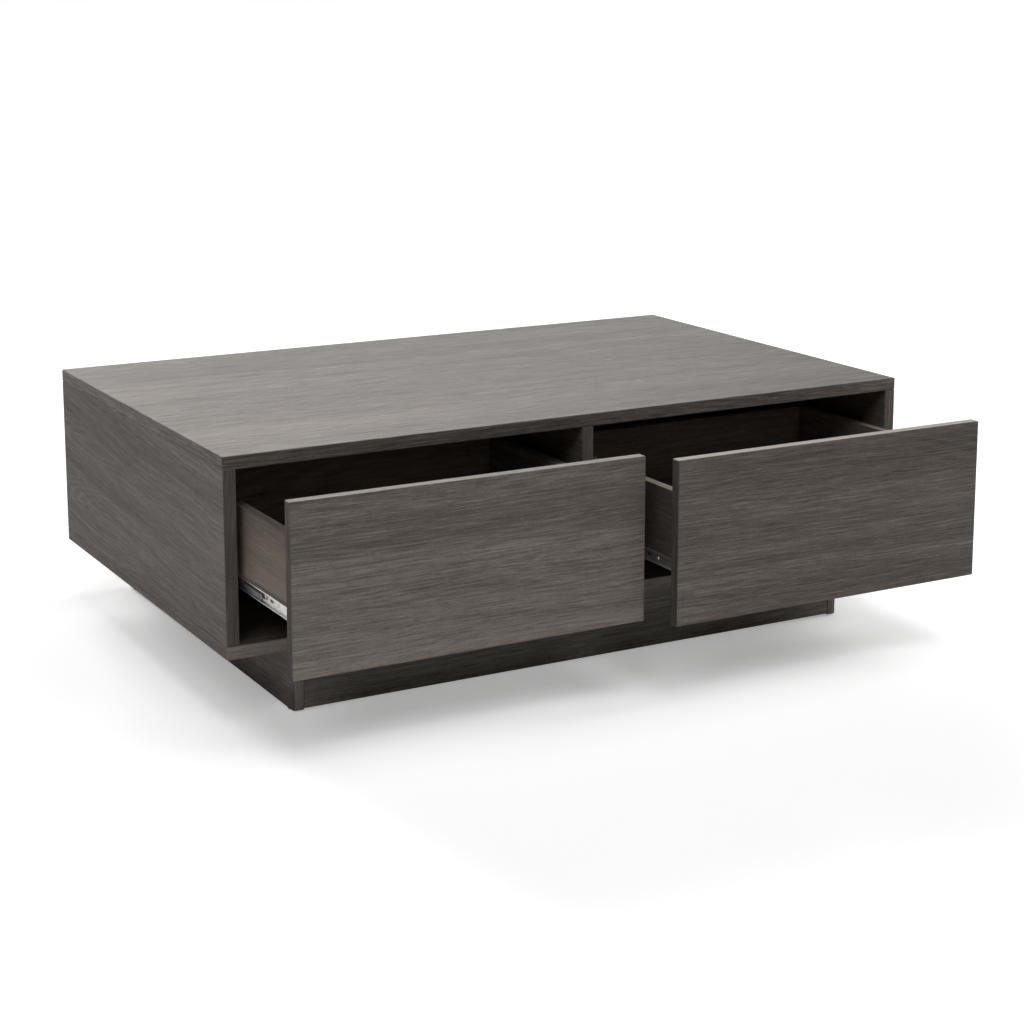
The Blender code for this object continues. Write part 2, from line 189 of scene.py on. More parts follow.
def make_grain_direction():
    tree, inside, result = new_group(
        "grain direction",
        {"Grain": (1, 0, 0), "Across": (0, 1, 0), "Through": (0, 0, 1), "Sheet": 0.0},
        ("Along", "Aside", "Sheet", "Edge", "End"),
    )
    place = add_node(tree, "ShaderNodeTexCoord").outputs["Object"]
    normal = add_node(tree, "ShaderNodeNewGeometry").outputs["True Normal"]
    axes = [inside[name] for name in ("Grain", "Across", "Through")]
    lengthwise, crosswise, inwards = (vector_maths(tree, "DOT_PRODUCT", place, axis) for axis in axes)
    faces = [maths(tree, "ABSOLUTE", vector_maths(tree, "DOT_PRODUCT", normal, axis)) for axis in axes]
    end = maths(tree, "GREATER_THAN", faces[0], 0.8)
    edge = maths(tree, "LESS_THAN", faces[2], 0.6)
    run = add_node(tree, "ShaderNodeMix", Factor=end, A=lengthwise, B=crosswise)
    side = add_node(tree, "ShaderNodeMix", Factor=edge, A=crosswise, B=inwards)
    for name, mixed, step in (("Along", run, SHEET_ALONG), ("Aside", side, SHEET_ASIDE)):
        moved = maths(tree, "MULTIPLY", inside["Sheet"], step)
        tree.links.new(maths(tree, "ADD", mixed.outputs[0], moved), result[name])
    strip = maths(tree, "ADD", edge, maths(tree, "MULTIPLY", end, END_STRIPS))
    moved = maths(tree, "MULTIPLY", strip, STRIP_SHEETS)
    tree.links.new(maths(tree, "ADD", inside["Sheet"], moved), result["Sheet"])
    tree.links.new(edge, result["Edge"])
    tree.links.new(end, result["End"])
    return tree


grain_direction = make_grain_direction()
print(grain_direction.name, [s.name for s in grain_direction.interface.items_tree])

# %% [markdown]
# ## The printed grain
#
# Close up, the print is a field of thin wavy streaks, lighter and darker than the board,
# a millimetre or two wide and a hand long. They gather in broader bands, and here and there
# they arch round a heart of the plank. A wave texture alone looks like corduroy, and a
# noise alone like smoke. So stretched noises of several widths are added, from fibres to
# bands a hand wide, and two slow noises bend them all together, so that the streaks stay
# parallel as wood fibres do. The arches are contour lines of a broad stretched noise. One
# board also shows an eye, which is thin pale rings round a point, drawn only where they run
# beside it, because rings that cross the grain look like scratches. The grain of a plank
# that was sawn askew leans, and that is a slope added across the grain.


# %% Group: printed grain
EYE_LENGTH, EYE_WIDTH = 0.180, 0.034  # metres from the eye's middle to its rim


def make_printed_grain():
    places = ("Along", "Aside", "Sheet", "Eye Along", "Eye Aside")
    habits = ("Figure", "Wander", "Lean", "Fineness")
    inputs = {name: 0.0 for name in places + habits}
    tree, inside, result = new_group("printed grain", inputs, ("Tone", "Pores", "Relief"))

    def field(along_scale, aside_scale, detail, aside, shift, roughness=0.55):
        """A noise round zero, with so many features in a metre along the grain and across it."""
        x = maths(tree, "MULTIPLY", inside["Along"], along_scale)
        y = maths(tree, "MULTIPLY", aside, aside_scale)
        z = maths(tree, "ADD", maths(tree, "MULTIPLY", inside["Sheet"], 2.3), shift)
        point = add_node(tree, "ShaderNodeCombineXYZ", X=x, Y=y, Z=z).outputs[0]
        return maths(tree, "SUBTRACT", noise(tree, point, 1.0, detail, roughness), 0.5)

    slow = field(1.3, 6.0, 1.0, inside["Aside"], 11.0)
    quick = field(7.0, 26.0, 1.0, inside["Aside"], 17.0)
    bend = maths(tree, "ADD", maths(tree, "MULTIPLY", slow, 0.034), maths(tree, "MULTIPLY", quick, 0.0045))
    slope = maths(tree, "MULTIPLY", inside["Along"], inside["Lean"])
    leaning = maths(tree, "ADD", inside["Aside"], slope)
    aside = maths(tree, "ADD", leaning, maths(tree, "MULTIPLY", bend, inside["Wander"]))

    fine = field(13.0, 540.0, 2.0, aside, 1.0, 0.6)
    fibres = field(36.0, 800.0, 1.0, aside, 9.0)
    middle = field(4.0, 170.0, 2.0, aside, 2.0, 0.6)
    broad = field(1.8, 50.0, 2.0, aside, 3.0)
    band = field(0.8, 11.0, 1.0, aside, 4.0)
    speck = field(240.0, 660.0, 1.0, aside, 13.0)

    heart = field(0.75, 8.0, 0.0, inside["Aside"], 5.0)
    turns = maths(tree, "ADD", maths(tree, "MULTIPLY", heart, 330.0), maths(tree, "MULTIPLY", fine, 3.5))
    rings = maths(tree, "SINE", turns)
    where = ramp(tree, field(1.7, 6.0, 0.0, inside["Aside"], 6.0), 0.02, 0.16)
    arches = maths(tree, "MULTIPLY", maths(tree, "MULTIPLY", rings, where), inside["Figure"])

    past_eye = maths(tree, "SUBTRACT", inside["Along"], inside["Eye Along"])
    eye_along = maths(tree, "DIVIDE", past_eye, EYE_LENGTH)
    eye_aside = maths(tree, "DIVIDE", maths(tree, "SUBTRACT", aside, inside["Eye Aside"]), EYE_WIDTH)
    squares = [maths(tree, "POWER", distance, 2.0) for distance in (eye_along, eye_aside)]
    from_eye = maths(tree, "SQRT", maths(tree, "ADD", *squares))
    ragged = maths(tree, "ADD", maths(tree, "MULTIPLY", fine, 5.0), maths(tree, "MULTIPLY", middle, 9.0))
    swirl = maths(tree, "SINE", maths(tree, "ADD", maths(tree, "MULTIPLY", from_eye, 30.0), ragged))
    thin = maths(tree, "POWER", maths(tree, "MAXIMUM", swirl, 0.0), 2.5)
    off_axis = maths(tree, "ABSOLUTE", eye_aside)
    beside = maths(tree, "DIVIDE", off_axis, maths(tree, "MAXIMUM", from_eye, 0.05))
    fading = ramp(tree, from_eye, 0.30, 1.10, 1.0, 0.0)
    eye = maths(tree, "MULTIPLY", maths(tree, "MULTIPLY", thin, beside), fading)

    tone = maths(tree, "MULTIPLY", fine, 0.88)
    for part, weight in ((fibres, 0.52), (speck, 0.34), (middle, 0.17)):
        tone = maths(tree, "ADD", tone, maths(tree, "MULTIPLY", part, weight))
    tone = maths(tree, "MULTIPLY", tone, inside["Fineness"])
    for part, weight in ((broad, 0.32), (band, 0.44), (arches, 0.12), (eye, 0.16)):
        tone = maths(tree, "ADD", tone, maths(tree, "MULTIPLY", part, weight))
    tree.links.new(maths(tree, "ADD", tone, 0.5, clamp=True), result["Tone"])

    pore_field = field(38.0, 900.0, 1.0, aside, 7.0)
    gathered = ramp(tree, middle, -0.02, 0.12, 0.25, 1.0)
    pores = maths(tree, "MULTIPLY", ramp(tree, pore_field, 0.10, 0.22), gathered)
    tree.links.new(pores, result["Pores"])
    streaks = maths(tree, "MULTIPLY", maths(tree, "ADD", fine, middle), 0.5)
    tree.links.new(maths(tree, "SUBTRACT", streaks, maths(tree, "MULTIPLY", pores, 0.6)), result["Relief"])
    return tree


printed_grain = make_printed_grain()
print(printed_grain.name, len(printed_grain.nodes), "nodes")

# %% [markdown]
# ## The edge of a board
#
# Edge strips are a millimetre of plastic glued round the board and trimmed to a small
# chamfer. Up close there is a hair-thin glue line where the strip meets the face. The
# chamfer is painted a little paler in patches: partly wear from handling, partly a painted
# highlight where the chamfer catches the light. The distance to the nearest edge is found
# from the board's own box: of the three distances to its sides, the smallest is the face
# itself, and the next is the nearest edge. A bevel node could find edges too, but slowly.


# %% Group: board edge
STRIP_THICKNESS = 0.0010
GLUE_FULL, GLUE_GONE = 0.00006, 0.00022  # metres from the middle of the glue line
WEAR_AND_SHEEN_LEAST, WEAR_AND_SHEEN_MOST = 0.0004, 0.0014  # how far wear and a painted highlight reach in from an edge


def make_board_edge():
    tree, inside, result = new_group(
        "board edge",
        {"Centre": (0, 0, 0), "Half Size": (1, 1, 1)},
        ("Glue Line", "Wear And Sheen"),
    )
    place = add_node(tree, "ShaderNodeTexCoord").outputs["Object"]
    from_centre = vector_maths(tree, "SUBTRACT", place, inside["Centre"])
    depth = vector_maths(tree, "SUBTRACT", inside["Half Size"], vector_maths(tree, "ABSOLUTE", from_centre))
    x, y, z = add_node(tree, "ShaderNodeSeparateXYZ", Vector=depth).outputs
    nearer = maths(tree, "MINIMUM", x, y)
    farther = maths(tree, "MAXIMUM", x, y)
    distance = maths(tree, "MAXIMUM", nearer, maths(tree, "MINIMUM", farther, z))

    off_line = maths(tree, "ABSOLUTE", maths(tree, "SUBTRACT", distance, STRIP_THICKNESS))
    tree.links.new(ramp(tree, off_line, GLUE_FULL, GLUE_GONE, 1.0, 0.0), result["Glue Line"])

    # The edges are painted paler in a patchy band: wear, and a painted highlight on the chamfer.
    patchy = noise(tree, place, 55.0, 4.0, 0.6)
    reach = ramp(tree, patchy, 0.35, 0.75, WEAR_AND_SHEEN_LEAST, WEAR_AND_SHEEN_MOST)
    near_edge = maths(tree, "SUBTRACT", 1.0, maths(tree, "DIVIDE", distance, reach), clamp=True)
    tree.links.new(near_edge, result["Wear And Sheen"])
    return tree


board_edge = make_board_edge()
print(board_edge.name, len(board_edge.nodes), "nodes")

# %% [markdown]
# ## Colours and painted light
#
# One pattern of grain serves all the boards, in a dark, a middle and a pale colour. Each
# board also gets painted light and shade of its own, which changes slowly along it: lighter
# low down on the left front, darker towards the right, darker in the gap between the
# drawers, and lighter or darker on its strips. A lamp for each board would look false from
# other sides, so every board's painted light and shade is written down as small numbers.

# %% Colours and painted light
LAMINATE = dict(
    dark=(0.060, 0.0515, 0.0455), middle=(0.132, 0.115, 0.102), pale=(0.298, 0.264, 0.236),
    rough=0.50, figure=0.45,
)
PLINTH = dict(
    dark=(0.057, 0.051, 0.043), middle=(0.124, 0.112, 0.098), pale=(0.284, 0.261, 0.235),
    rough=0.60, figure=0.3,
)
BOX_WOOD = dict(
    dark=(0.070, 0.060, 0.052), middle=(0.200, 0.170, 0.143), pale=(0.372, 0.325, 0.279),
    rough=0.62, figure=0.6,
)
RAW_WOOD = dict(
    dark=(0.25, 0.16, 0.094), middle=(0.47, 0.34, 0.21), pale=(0.70, 0.56, 0.40),
    rough=0.75, figure=0.8,
)

# Painted light and shade on each board, and its grain: lighter in all (lift), towards +X, +Y
# and +Z (drift, which is turned round on the strips), on its strips (strip) and on its end
# strips (cap); how much its grain bends (wander), leans (lean) and shows fine streaks (fine);
# and where it has an eye (eye).
PAINTED_LIGHT_AND_GRAIN = {
    # Painted light: lighter than the right front and lighter low down; painted shade on its end strips.
    "left_drawer_front": dict(
        lift=0.09, drift=(0.0, 0.0, -0.11), strip=0.07, cap=-0.52, fine=0.92, eye=(-0.225, 0.246)
    ),
    # Painted shade: darker towards its right and top, much darker end strips as in the gap between the
    # drawers; painted light on its long strips.
    "right_drawer_front": dict(lift=-0.01, drift=(-0.05, 0.0, -0.045), strip=0.52, cap=-0.82, fine=0.92),
    # Painted shade: darker towards the back.
    "left_side_panel": dict(lift=0.03, drift=(0.0, -0.09, 0.0), cap=-0.18, wander=1.5, lean=-0.07, fine=0.7),
    # Painted sheen: lighter towards its left end, and lighter end strips.
    "top_panel": dict(lift=-0.10, drift=(-0.20, -0.03, 0.0), strip=0.08, cap=0.20, fine=1.35),
    # Painted shade on its end strips.
    "right_side_panel": dict(cap=-0.15),
    # Painted light from the floor on its strips; painted shade on its end strips.
    "bottom_panel": dict(strip=0.32, cap=-0.35),
    # Painted light on its end strips, under the overhang.
    "plinth_left_board": dict(lift=-0.03, cap=0.50),
    # Painted light on its end strips.
    "plinth_right_board": dict(cap=0.30),
    # Painted light from low in front, fading towards the right.
    "plinth_front_rail": dict(lift=0.24, drift=(-0.06, 0.0, 0.0)),
    # Painted shade: darker towards the top, under the case; darker strips.
    "left_drawer_left_side": dict(lift=0.09, drift=(0.0, 0.0, -0.24), strip=-0.60, fine=0.5, wander=1.8),
    # Painted shadow: much darker, in the gap between the drawers; lighter strips.
    "right_drawer_left_side": dict(lift=-0.46, strip=0.40),
}
print("boards with a shade of their own:", len(PAINTED_LIGHT_AND_GRAIN))

# %% [markdown]
# ## A board's finish
#
# One function makes the finish of one board. It reads the board's box from the model, sets
# which way its grain runs, and gives it a sheet number. The print's tone, with the board's
# painted light and shade added to it, picks a colour between the dark and the pale one,
# pores darken it, and the same pattern drives roughness and a shallow bump, because the
# press plate that stamps real laminate follows the print.

# %% A board's finish
AXES = {"X": (1, 0, 0), "Y": (0, 1, 0), "Z": (0, 0, 1)}
SHINE = 0.04  # how strongly a board mirrors
STRIP_DRIFT = -0.6  # how a board's painted falloff of light and shade turns round on its strips
PORE_SHARE, GLUE_SHARE, WEAR_AND_SHEEN_SHARE = 0.45, 0.5, 0.12
RELIEF_ROUGH, WEAR_ROUGH = -0.35, -0.08
RELIEF_DEPTH = 0.0004
NO_EYE = (-50.0, -50.0)  # metres away


def board_finish(node_name, sheet, finish, axes):
    """A procedural wood-grain material for one board, with its painted light and shade, set on the board's
    own box.
    """
    low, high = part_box(node_name)
    centre, half_size = (low + high) / 2, (high - low) / 2
    shade = PAINTED_LIGHT_AND_GRAIN.get(node_name, {})
    material, tree, shader = new_material(node_name + "_finish")
    shader.inputs["Specular IOR Level"].default_value = SHINE

    direction = add_node(tree, "ShaderNodeGroup", node_tree=grain_direction, Sheet=sheet)
    for name, axis in zip(("Grain", "Across", "Through"), axes):
        direction.inputs[name].default_value = AXES[axis]
    grain = add_node(tree, "ShaderNodeGroup", node_tree=printed_grain, Figure=finish["figure"])
    for name, key, usual in (("Wander", "wander", 1.0), ("Lean", "lean", 0.0), ("Fineness", "fine", 1.0)):
        grain.inputs[name].default_value = shade.get(key, usual)
    eye_along, eye_aside = shade.get("eye", NO_EYE)
    grain.inputs["Eye Along"].default_value = eye_along + sheet * SHEET_ALONG
    grain.inputs["Eye Aside"].default_value = eye_aside + sheet * SHEET_ASIDE
    for name in ("Along", "Aside", "Sheet"):
        tree.links.new(direction.outputs[name], grain.inputs[name])
    edge = add_node(tree, "ShaderNodeGroup", node_tree=board_edge, Centre=centre, Half_Size=half_size)

    # Painted light and shade: the board's lift and its slow falloff along X, Y and Z are added to the
    # print's tone, the falloff turned round on strips, and its strips and end strips are painted lighter or
    # darker.
    drift = Vector([part / half for part, half in zip(shade.get("drift", (0, 0, 0)), half_size)])
    place = add_node(tree, "ShaderNodeTexCoord").outputs["Object"]
    slope = vector_maths(tree, "DOT_PRODUCT", place, drift)
    turned = maths(tree, "ADD", 1.0, maths(tree, "MULTIPLY", direction.outputs["Edge"], STRIP_DRIFT - 1.0))
    drifted = maths(tree, "MULTIPLY", maths(tree, "ADD", slope, -drift.dot(centre)), turned)
    lifted = maths(tree, "ADD", drifted, shade.get("lift", 0.0))
    tone = maths(tree, "ADD", grain.outputs["Tone"], lifted)
    for output, key in (("Edge", "strip"), ("End", "cap")):
        change = maths(tree, "MULTIPLY", direction.outputs[output], shade.get(key, 0.0))
        tone = maths(tree, "ADD", tone, change)
    colours = add_node(tree, "ShaderNodeValToRGB", "print colours", Fac=tone)
    stops = colours.color_ramp.elements
    stops[0].position, stops[0].color = 0.10, opaque(finish["dark"])
    stops[1].position, stops[1].color = 1.00, opaque(finish["pale"])
    stops.new(0.50).color = opaque(finish["middle"])
    colour = colours.outputs["Color"]
    # Pores and glue lines darken the colour, and the edges are painted paler: wear, and a painted highlight
    # on the chamfer.
    for mask, share, laid_over in (
        (grain.outputs["Pores"], PORE_SHARE, opaque(finish["dark"], 0.7)),
        (edge.outputs["Glue Line"], GLUE_SHARE, opaque(finish["dark"], 0.5)),
        (edge.outputs["Wear And Sheen"], WEAR_AND_SHEEN_SHARE, opaque(finish["pale"])),
    ):
        colour = blend_colour(tree, maths(tree, "MULTIPLY", mask, share), colour, laid_over)
    tree.links.new(colour, shader.inputs["Base Color"])

    relief = grain.outputs["Relief"]
    rough = maths(tree, "ADD", maths(tree, "MULTIPLY", relief, RELIEF_ROUGH), finish["rough"])
    worn = maths(tree, "MULTIPLY", edge.outputs["Wear And Sheen"], WEAR_ROUGH)
    tree.links.new(maths(tree, "ADD", rough, worn, clamp=True), shader.inputs["Roughness"])
    bump = add_node(tree, "ShaderNodeBump", "relief", Strength=0.35, Distance=RELIEF_DEPTH, Height=relief)
    tree.links.new(bump.outputs["Normal"], shader.inputs["Normal"])
    return material


print("board finish ready")

# %% [markdown]
# ## Dressing the boards
#
# The grain runs along every board, and upright in the blocks inside the plinth. Only the
# axes and the colours differ, so a list and a loop dress them all. A board's number in the
# list is its sheet.


# %% Dressing the boards
def dress(node_name, material):
    """Puts a finish in every material slot of a node."""
    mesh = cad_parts[node_name].data
    if not mesh.materials:
        mesh.materials.append(material)
    for index in range(len(mesh.materials)):
        mesh.materials[index] = material


# Each board's node, its finish, and the axes along its grain, across it and through the board.
BOARDS = [
    ("top_panel", LAMINATE, "XYZ"),
    ("bottom_panel", LAMINATE, "XYZ"),
    ("left_side_panel", LAMINATE, "YZX"),
    ("right_side_panel", LAMINATE, "YZX"),
    ("centre_divider", LAMINATE, "YZX"),
    ("back_panel", LAMINATE, "XZY"),
    ("plinth_left_board", LAMINATE, "YZX"),
    ("plinth_right_board", LAMINATE, "YZX"),
    ("plinth_front_rail", PLINTH, "XZY"),
    ("plinth_back_rail", PLINTH, "XZY"),
    ("plinth_middle_rail", PLINTH, "YZX"),
]
for place in ("front_left", "front_right", "back_left", "back_right"):
    BOARDS.append(("plinth_block_" + place, RAW_WOOD, "ZXY"))
BOX_BOARDS = {"sub_front": "XZY", "left_side": "YZX", "right_side": "YZX", "back": "XZY", "bottom": "XYZ"}
for drawer in ("left_drawer_", "right_drawer_"):
    BOARDS.append((drawer + "front", LAMINATE, "XZY"))
    BOARDS += [(drawer + part, BOX_WOOD, axes) for part, axes in BOX_BOARDS.items()]

for number, (node_name, finish, axes) in enumerate(BOARDS):
    dress(node_name, board_finish(node_name, float(number), finish, axes))
print("boards dressed:", len(BOARDS))

# %% [markdown]
# ## Steel and plastic
#
# The runners are zinc-plated steel: a grey metal, a little cloudy, with fine marks from
# rolling along its length. One even colour would look like paint, so two noises mix a
# paler and a darker grey, and one of them is drawn out along the runner. The screws are
# brighter and smoother. Glides and catches are moulded plastic, with a mould's fine texture.


# %% Metal and plastic finishes
def steel_finish(name, pale, dark, rough, stretch=(260.0, 6.0, 260.0)):
    """Plated steel, with rolling marks that repeat at a rate of their own along each axis."""
    material, tree, shader = new_material(name)
    shader.inputs["Metallic"].default_value = 1.0
    place = add_node(tree, "ShaderNodeTexCoord").outputs["Object"]
    drawn_out = add_node(tree, "ShaderNodeMapping", Vector=place, Scale=stretch).outputs[0]
    line = noise(tree, drawn_out, 4.0, 3.0, label="rolling lines")
    bloom = noise(tree, place, 90.0, 4.0, label="plating bloom")
    shade = maths(tree, "ADD", maths(tree, "MULTIPLY", line, 0.45), maths(tree, "MULTIPLY", bloom, 0.55))
    colour = blend_colour(tree, ramp(tree, shade, 0.32, 0.68), opaque(dark), opaque(pale))
    tree.links.new(colour, shader.inputs["Base Color"])
    tree.links.new(ramp(tree, shade, 0.3, 0.7, rough + 0.10, rough - 0.05), shader.inputs["Roughness"])
    bump = add_node(tree, "ShaderNodeBump", "rolling marks", Strength=0.25, Distance=0.00005, Height=line)
    tree.links.new(bump.outputs["Normal"], shader.inputs["Normal"])
    return material


def plastic_finish(name, colour, rough):
    """Moulded plastic, with flow marks and the mould's fine texture."""
    material, tree, shader = new_material(name)
    place = add_node(tree, "ShaderNodeTexCoord").outputs["Object"]
    pits = noise(tree, place, 1600.0, 2.0, label="mould texture")
    marks = noise(tree, place, 70.0, 3.0, label="flow marks")
    marked = blend_colour(tree, marks, opaque(colour, 0.8), opaque(colour))
    tree.links.new(marked, shader.inputs["Base Color"])
    tree.links.new(ramp(tree, marks, 0.3, 0.7, rough - 0.05, rough + 0.07), shader.inputs["Roughness"])
    bump = add_node(tree, "ShaderNodeBump", "mould grain", Strength=0.3, Distance=0.00008, Height=pits)
    tree.links.new(bump.outputs["Normal"], shader.inputs["Normal"])
    return material


zinc = steel_finish("zinc_steel", (0.62, 0.62, 0.605), (0.46, 0.46, 0.45), 0.36)
dark_zinc = steel_finish("dark_zinc_steel", (0.20, 0.20, 0.20), (0.12, 0.12, 0.12), 0.38)
screw_steel = steel_finish("screw_steel", (0.66, 0.65, 0.62), (0.50, 0.49, 0.47), 0.28, (90.0, 90.0, 90.0))
black_plastic = plastic_finish("black_plastic", (0.022, 0.022, 0.023), 0.45)
ball_steel = steel_finish("ball_steel", (0.80, 0.80, 0.79), (0.66, 0.66, 0.65), 0.16, (60.0, 60.0, 60.0))
grey_plastic = plastic_finish("grey_plastic", (0.23, 0.23, 0.225), 0.42)
print("materials:", len(bpy.data.materials))

# %% [markdown]
# ## Tools for shaping small pieces
#
# The runners and fasteners are shaped from simple blocks and cylinders in edit mode, as a
# toolmaker would: a face is extruded into a flange, and an edge is rounded into a bend.
# Faces and edges are picked by where they lie, because a number in the mesh changes with
# every step.


# %% Shaping helpers
def let_go():
    """Leaves edit mode, with nothing selected."""
    if bpy.context.object and bpy.context.object.mode != "OBJECT":
        bpy.ops.object.mode_set(mode="OBJECT")
    bpy.ops.object.select_all(action="DESELECT")


def take(*pieces):
    """Selects some objects, and makes the first one active."""
    let_go()
    for piece in pieces:
        piece.select_set(True)
    bpy.context.view_layer.objects.active = pieces[0]


def new_block(name, low, high):
    """A block between two corners, in edit mode, to be shaped further."""
    let_go()
    bpy.ops.mesh.primitive_cube_add(size=1, location=(0, 0, 0))
    block = bpy.context.object
    block.name = name
    low, high = Vector(low), Vector(high)
    block.data.transform(Matrix.LocRotScale((low + high) / 2, None, high - low))
    bpy.ops.object.mode_set(mode="EDIT")
    return block


def new_disc(name, radius, low, high, sides=32):
    """An upright cylinder between two heights, in edit mode, to be shaped further."""
    let_go()
    bpy.ops.mesh.primitive_cylinder_add(vertices=sides, radius=radius, depth=high - low, location=(0, 0, 0))
    disc = bpy.context.object
    disc.name = name
    disc.data.transform(Matrix.Translation((0, 0, (low + high) / 2)))
    bpy.ops.object.mode_set(mode="EDIT")
    return disc


def pick_faces(piece, test):
    """Selects only the faces whose centre and normal pass a test."""
    bpy.ops.mesh.select_mode(type="FACE")
    shape = bmesh.from_edit_mesh(piece.data)
    for face in shape.faces:
        face.select_set(bool(test(face.calc_center_median(), face.normal)))
    shape.select_flush_mode()
    bmesh.update_edit_mesh(piece.data)


def pick_edges(piece, test):
    """Selects only the edges whose middle and direction pass a test."""
    bpy.ops.mesh.select_mode(type="EDGE")
    shape = bmesh.from_edit_mesh(piece.data)
    for edge in shape.edges:
        first, second = (corner.co for corner in edge.verts)
        edge.select_set(bool(test((first + second) / 2, (second - first).normalized())))
    shape.select_flush_mode()
    bmesh.update_edit_mesh(piece.data)


def extrude(x, y, z):
    """Pulls the selected faces out along a vector."""
    bpy.ops.mesh.extrude_region_move(TRANSFORM_OT_translate={"value": (x, y, z)})


def round_edges(radius, segments):
    """Rounds the selected edges."""
    bpy.ops.mesh.bevel(offset=radius, segments=segments, affect="EDGES", clamp_overlap=True)


print("shaping helpers ready")

# %% [markdown]
# ## Tools for cutting, finishing and placing
#
# A hole is cut with a second piece, as a punch does. Each different piece is modelled once,
# at the origin, as it sits on a left-hand wall. Every copy then gets a mesh of its own,
# which is mirrored for the other hand and moved to its place, so that the object itself
# stays at the origin.

# %% Cutting, finishing and placing
# Turns that lay an upright piece down, so that its top points to +X or -X, or to -Y or +Y.
TO_ROOM, TO_WALL = (Matrix.Rotation(math.radians(angle), 4, "Y") for angle in (90, -90))
TO_FRONT, TO_BACK = (Matrix.Rotation(math.radians(angle), 4, "X") for angle in (90, -90))
MIRROR = Matrix.Scale(-1, 4, (1, 0, 0))
SAME_PLACE, WELD = 0.00002, 0.00001  # how close two places count as one, and two corners are joined
SHARP_ANGLE = 32  # degrees above which an edge stays sharp
OVERRUN = 0.001  # how far a cutter goes past what it cuts


def carve(piece, cutter):
    """Cuts a piece with another one, and removes the cutter."""
    take(piece)
    cut = piece.modifiers.new("cut", "BOOLEAN")
    cut.operation = "DIFFERENCE"
    cut.solver = "EXACT"
    cut.object = cutter
    bpy.ops.object.modifier_apply(modifier=cut.name)
    bpy.data.objects.remove(cutter)


def cut_slot(piece, radius, reach, x, start, run=0.0):
    """Cuts a hole along X through a piece, or a slot, whose far half lies further along Y by its run."""
    cutter = new_disc("cutter", radius, -reach, reach, 24)
    let_go()
    cutter.data.transform(TO_ROOM)
    for corner in cutter.data.vertices:
        corner.co.y += start + (run if corner.co.y > 0 else 0)
    cutter.data.transform(Matrix.Translation((x, 0, 0)))
    carve(piece, cutter)


def close_to(value, target):
    return abs(value - target) < SAME_PLACE


def finish_shape(piece, *materials):
    """Smooths the rounded faces, keeps the corners sharp and gives the piece its materials."""
    take(piece)
    bpy.ops.object.mode_set(mode="EDIT")
    bpy.ops.mesh.select_all(action="SELECT")
    bpy.ops.mesh.remove_doubles(threshold=WELD)
    bpy.ops.mesh.normals_make_consistent(inside=False)
    bpy.ops.object.mode_set(mode="OBJECT")
    bpy.ops.object.shade_smooth_by_angle(angle=math.radians(SHARP_ANGLE))
    for material in materials:
        piece.data.materials.append(material)
    return piece


def place_copy(pattern, name, body, point, hand=1, turn=None, replaced=None):
    """A copy with a mesh of its own, turned, mirrored for the right hand and moved to its place."""
    mesh = pattern.data.copy()
    if turn:
        mesh.transform(turn)
    if hand < 0:
        mesh.transform(MIRROR)
        mesh.flip_normals()
    mesh.transform(Matrix.Translation(point))
    piece = bpy.data.objects.new(name, mesh)
    bpy.context.scene.collection.objects.link(piece)
    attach(piece, body)
    if replaced:
        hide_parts(replaced)


print("cutting, finishing and placing helpers ready")

# %% [markdown]
# ## Runner channels
#
# A ball runner is three steel strips, one inside the other. The outer two are U channels of
# one millimetre sheet, folded over a former, so their bends are round. They carry round
# holes and slots for the screws. A folded plane could be thickened, but its bends would
# come out sharp. So a flat strip is started at full thickness, its long sides are extruded
# into lips, and the folds are rounded inside and out.

# %% Runner channels
SPACE = 0.013  # between the bay's wall and the drawer's side
SHEET = 0.001
WEB, LIP, TRACK = 0.0003, 0.0057, 0.009  # a channel's back, its lips' ends and half its height
LIP_ROUND, FOLD_OUTSIDE, FOLD_INSIDE = 0.0028, 0.0016, 0.0006
HOLE, CUTTER_REACH = 0.0022, 0.004
SCREW_PLACES = (0.047, 0.096, 0.200, 0.365)
SLOTS = ((0.0665, 0.008), (0.128, 0.010), (0.262, 0.012), (0.3115, 0.007))  # start and run


def make_channel(name, length):
    """A U channel that opens towards +X, from the wall's side of the runner, with holes and slots."""
    top = TRACK - SHEET
    channel = new_block(name, (WEB, 0, -top), (WEB + SHEET, length, top))
    for side in (1, -1):
        pick_faces(channel, lambda centre, normal: normal.z * side > 0.9)
        extrude(0, 0, side * SHEET)
        pick_faces(channel, lambda centre, normal: normal.x > 0.9 and centre.z * side > top)
        extrude(LIP - WEB - SHEET, 0, 0)
    pick_edges(channel, lambda middle, along: abs(along.z) > 0.9 and close_to(middle.x, LIP))
    round_edges(LIP_ROUND, 5)

    def on_fold(middle, along):
        return abs(along.y) > 0.9 and close_to(middle.x, x) and close_to(abs(middle.z), z)

    for x, z, bend, segments in ((WEB, TRACK, FOLD_OUTSIDE, 5), (WEB + SHEET, top, FOLD_INSIDE, 3)):
        pick_edges(channel, on_fold)
        round_edges(bend, segments)
    for start in SCREW_PLACES:
        cut_slot(channel, HOLE, CUTTER_REACH, WEB, start)
    for start, run in SLOTS:
        cut_slot(channel, HOLE, CUTTER_REACH, WEB, start, run)
    return finish_shape(channel, zinc)


def face_the_wall(piece):
    """Mirrors a runner's piece to the drawer's side of the space, where it opens towards -X."""
    piece.data.transform(Matrix.Translation((SPACE, 0, 0)) @ MIRROR)
    piece.data.flip_normals()
    return piece


def length_of(node):
    low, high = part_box(node)
    return high.y - low.y


